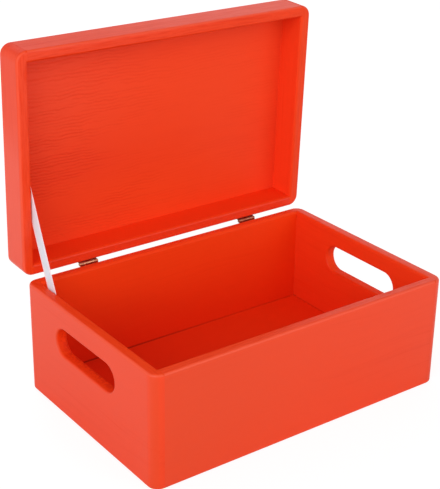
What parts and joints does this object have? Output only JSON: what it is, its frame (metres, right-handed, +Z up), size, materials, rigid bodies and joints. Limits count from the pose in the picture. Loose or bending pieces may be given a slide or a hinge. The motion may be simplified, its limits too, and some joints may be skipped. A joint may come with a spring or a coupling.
{
  "type": "wooden storage box",
  "caption": "Painted wooden storage box with rounded corners, hand holes in its sides and a hinged tray lid that stands open on a ribbon stay.",
  "frame": {"origin": "middle of the underside of the floor board, on the surface that the box stands on", "axes": "+Z up, +X to the box's right, -Y to its front; the hinges are at +Y"},
  "size_m": [0.3, 0.2297, 0.3028],
  "materials": {
    "painted_wood": "satin orange-red paint over pine",
    "painted_plywood": "satin orange-red paint over plywood, grain showing",
    "hinge_brass": "dull bronzed brass",
    "nail_steel": "bright drawn wire",
    "satin_ribbon": "white satin weave"
  },
  "bodies": {
    "box": {"box_front_board": "painted_wood", "box_rear_board": "painted_wood", "box_left_board": "painted_wood", "box_right_board": "painted_wood", "box_floor_board": "painted_wood", "left_hinge_box_leaf": "hinge_brass", "left_hinge_pin": "hinge_brass", "right_hinge_box_leaf": "hinge_brass", "right_hinge_pin": "hinge_brass", "hinge_box_screws": "hinge_brass", "lid_ribbon": "satin_ribbon", "ribbon_box_tack": "hinge_brass", "box_corner_brads": "nail_steel", "floor_brads": "nail_steel"},
    "lid": {"lid_front_board": "painted_wood", "lid_rear_board": "painted_wood", "lid_left_board": "painted_wood", "lid_right_board": "painted_wood", "lid_top_panel": "painted_plywood", "left_hinge_lid_leaf": "hinge_brass", "right_hinge_lid_leaf": "hinge_brass", "hinge_lid_screws": "hinge_brass", "ribbon_lid_tack": "hinge_brass", "lid_corner_brads": "nail_steel", "lid_panel_brads": "nail_steel"}
  },
  "joints": [
    {"name": "lid_hinge", "type": "hinge", "parent": "box", "child": "lid", "pos_m": [0, 0.1005, 0.1024], "axis": [1, 0, 0], "range_deg": [0, 88], "deforming": ["lid_ribbon"]}
  ]
}
